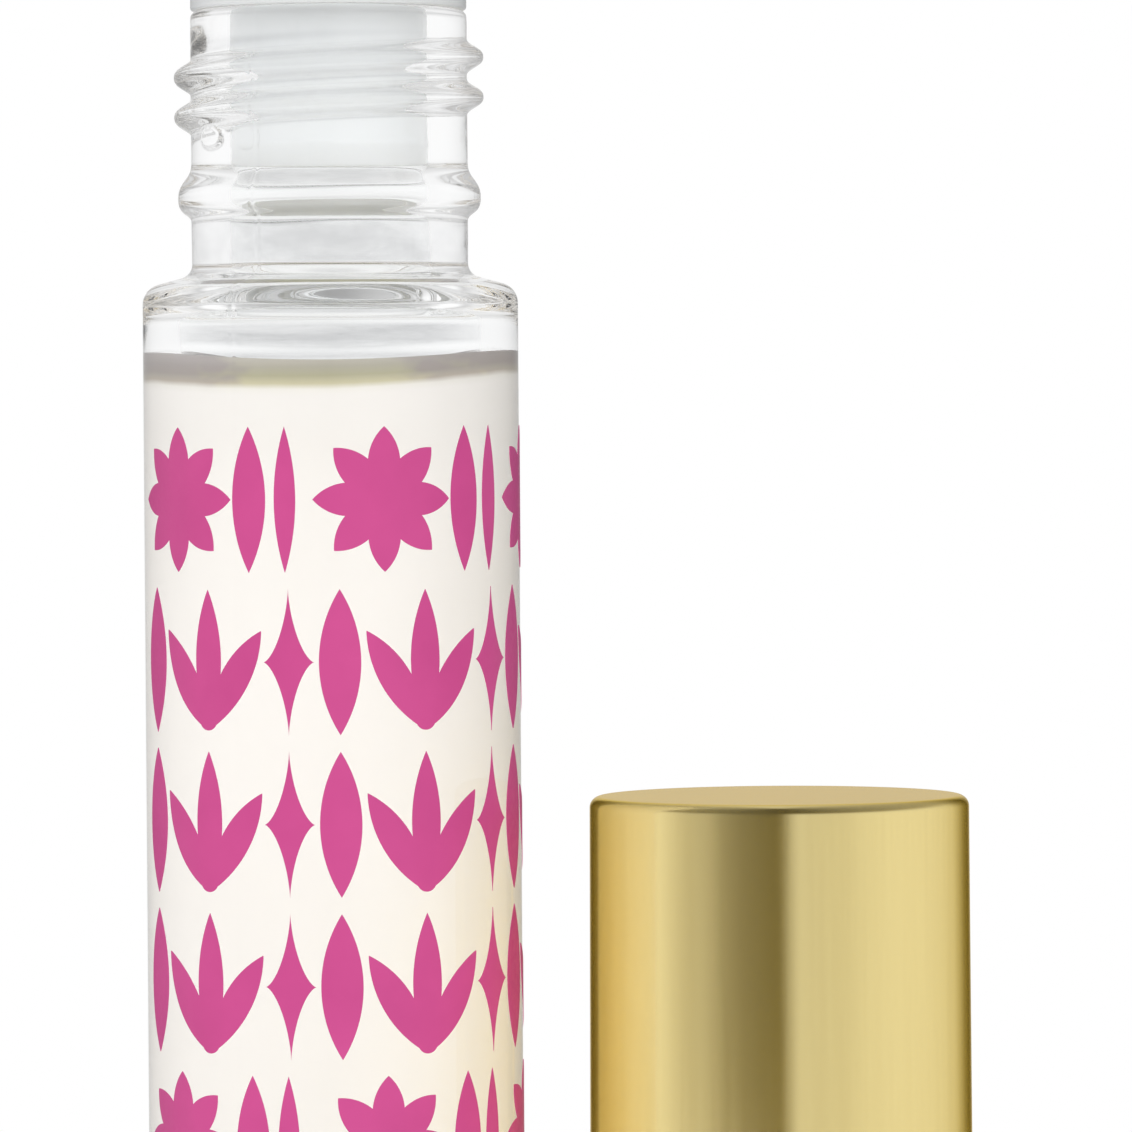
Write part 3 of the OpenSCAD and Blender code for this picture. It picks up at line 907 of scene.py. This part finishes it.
# ---- light -------------------------------------------------------------------------
def world():
    """A white cove for the camera. What lights and mirrors in the object is a
    studio: soft boxes left and right, a dark camera side, a light grey cove
    behind, narrow dark flags beside it, and a broad overhead light in front."""
    w = bpy.data.worlds.new("studio")
    bpy.context.scene.world = w
    w.use_nodes = True
    nt = w.node_tree
    nt.nodes.clear()

    def node(kind, **kw):
        n = nt.nodes.new(kind)
        for a, b in kw.items():
            setattr(n, a, b)
        return n

    def calc(op, a, b=None, c=None):
        n = node("ShaderNodeMath", operation=op)
        for i, v in enumerate((a, b, c)):
            if v is None:
                continue
            if isinstance(v, (int, float)):
                n.inputs[i].default_value = v
            else:
                nt.links.new(v, n.inputs[i])
        return n.outputs[0]

    co = node("ShaderNodeTexCoord").outputs["Generated"]
    sep = node("ShaderNodeSeparateXYZ")
    nt.links.new(co, sep.inputs[0])
    x, y, z = sep.outputs
    # 0 behind on the left, 0.5 towards -Y, 1 behind on the right
    az = calc("MULTIPLY_ADD", calc("ARCTAN2", x, calc("MULTIPLY", y, -1.0)), 1 / (2 * PI), 0.5)

    def ramp(stops):
        n = node("ShaderNodeValToRGB")
        e = n.color_ramp.elements
        while len(e) < len(stops):
            e.new(0.5)
        for el, (deg, v) in zip(e, stops):
            el.position = (deg + 180) / 360
            el.color = (v, v, v, 1)
        nt.links.new(az, n.inputs[0])
        return n.outputs[0]

    band = ramp([(-180, 0.84), (-172, 0.82), (-166, 0.04), (-150, 0.10), (-140, 0.18), (-126, 0.46), (-114, 0.73), (-103, 0.90),
                 (-94, 1.06), (-85, 1.10), (-77, 0.92), (-70, 0.80), (-62, 0.61), (-54, 0.58), (-48, 0.57), (-41, 0.42),
                 (-34, 0.28), (-25, 0.20), (-15, 0.14), (-1, 0.07), (4, 0.46), (9, 0.88), (16, 0.77), (37, 0.77), (52, 0.89),
                 (75, 0.94), (100, 0.91), (116, 0.85), (130, 0.76), (147, 0.19), (160, 0.02), (172, 0.82)])
    # the same in flawless mirrors, which are the faces of the glass
    rim = ramp([(-180, 0.95), (-165, 0.50), (-150, 0.42), (-125, 0.60), (-95, 0.95), (-70, 0.80), (-35, 0.35), (0, 0.15), (20, 0.60), (60, 0.85),
                (100, 0.85), (125, 0.50), (150, 0.25), (172, 0.45), (180, 0.95)])
    # seen in mirrors well above the horizon: dark in front, grey behind
    dome = ramp([(-180, 0.80), (-150, 0.45), (-100, 0.35), (-60, 0.22), (0, 0.06), (60, 0.25), (100, 0.35), (150, 0.45), (180, 0.80)])
    # what lights matt surfaces
    soft = ramp([(-180, 0.90), (-135, 0.80), (-90, 0.88), (-55, 1.30), (0, 1.46), (45, 1.52), (68, 1.10), (90, 0.24), (135, 0.28), (180, 0.9)])
    # seen through clear glass: the lit cove all round, greyer towards the camera
    cove_band = ramp([(-180, 1.0), (-150, 1.0), (-120, 0.98), (-90, 0.97), (-60, 0.88), (-30, 0.71), (0, 0.65),
                      (30, 0.71), (60, 0.88), (90, 0.97), (120, 0.98), (150, 1.0), (180, 1.0)])
    level = node("ShaderNodeValToRGB")
    e = level.color_ramp.elements
    stops = [(-1, 0.62), (-0.6, 0.68), (-0.36, 0.80), (-0.22, 0.93), (-0.12, 1.0), (0.12, 1.0), (0.22, 0.88), (0.36, 0.85),
             (0.47, 0.66), (0.56, 1.06), (0.68, 1.05), (0.77, 0.68), (0.9, 0.58), (1.0, 0.6)]
    while len(e) < len(stops):
        e.new(0.5)
    for el, (h, v) in zip(e, stops):
        el.position = (h + 1) / 2
        el.color = (v, v, v, 1)
    nt.links.new(calc("MULTIPLY_ADD", z, 0.5, 0.5), level.inputs[0])
    lp = node("ShaderNodeLightPath")

    def span(a, b, c, d):
        n = node("ShaderNodeMapRange", interpolation_type="SMOOTHSTEP")
        for key, v in zip(("From Min", "From Max", "To Min", "To Max"), (a, b, c, d)):
            n.inputs[key].default_value = v
        nt.links.new(z, n.inputs["Value"])
        return n.outputs[0]

    def blend(fac, a, b):
        n = node("ShaderNodeMix", data_type="RGBA")
        nt.links.new(fac, n.inputs[0])
        nt.links.new(a, n.inputs[6])
        nt.links.new(b, n.inputs[7])
        return n.outputs[2]

    def background(colour, strength=1.0):
        n = node("ShaderNodeBackground")
        if isinstance(colour, tuple):
            n.inputs["Color"].default_value = colour
        else:
            nt.links.new(colour, n.inputs["Color"])
        if isinstance(strength, float):
            n.inputs["Strength"].default_value = strength
        else:
            nt.links.new(strength, n.inputs["Strength"])
        return n.outputs[0]

    def pick(fac, a, b):
        n = node("ShaderNodeMixShader")
        nt.links.new(fac, n.inputs[0])
        nt.links.new(a, n.inputs[1])
        nt.links.new(b, n.inputs[2])
        return n.outputs[0]

    mirrored = background(blend(span(0.28, 0.62, 0.0, 1.0), band, dome))
    crisp = background(blend(span(0.28, 0.62, 0.0, 1.0), rim, dome))
    matt = background(soft, span(-0.6, 0.8, 0.92, 1.08))
    through = background(cove_band, level.outputs[0])
    scattered = calc("MINIMUM", lp.outputs["Diffuse Depth"], 1.0)
    sh = pick(lp.outputs["Is Singular Ray"], mirrored, crisp)
    sh = pick(lp.outputs["Is Transmission Ray"], sh, through)
    sh = pick(scattered, sh, matt)
    sh = pick(lp.outputs["Is Camera Ray"], sh, background((1, 1, 1, 1)))
    out = node("ShaderNodeOutputWorld")
    nt.links.new(sh, out.inputs[0])
    w.cycles.sampling_method = "NONE"


world()

scene = bpy.context.scene
scene.view_settings.view_transform = "Standard"
scene.view_settings.look = "None"
scene.cycles.caustics_refractive = True
scene.cycles.caustics_reflective = True
scene.cycles.blur_glossy = 0.0
scene.cycles.max_bounces = 28
scene.cycles.transmission_bounces = 28
scene.cycles.glossy_bounces = 20
scene.cycles.diffuse_bounces = 8


# ---- camera -----------------------------------------------------------------------
def camera():
    px = 18.75                       # pixels per millimetre at the object's plane
    dist = 370.0
    pitch = math.atan((566 - 420) / px / dist)
    cx = (566 - 332.4) / px
    cz = 57.0 + (283 - 566) / px
    cam = bpy.data.cameras.new("camera")
    cam.sensor_width = 36
    cam.lens = 36 * dist / math.cos(0) / (1132 / px)
    cam.clip_start, cam.clip_end = 0.01, 20
    ob = bpy.data.objects.new("camera", cam)
    scene.collection.objects.link(ob)
    ob.location = (cx * MM, -dist * math.cos(pitch) * MM, (cz + dist * math.sin(pitch)) * MM)
    look = Matrix.Rotation(math.pi / 2 - pitch, 4, "X")
    roll = Matrix.Rotation(math.radians(-0.38), 4, "Z")
    ob.matrix_world = Matrix.Translation(ob.location) @ look @ roll
    scene.camera = ob


camera()
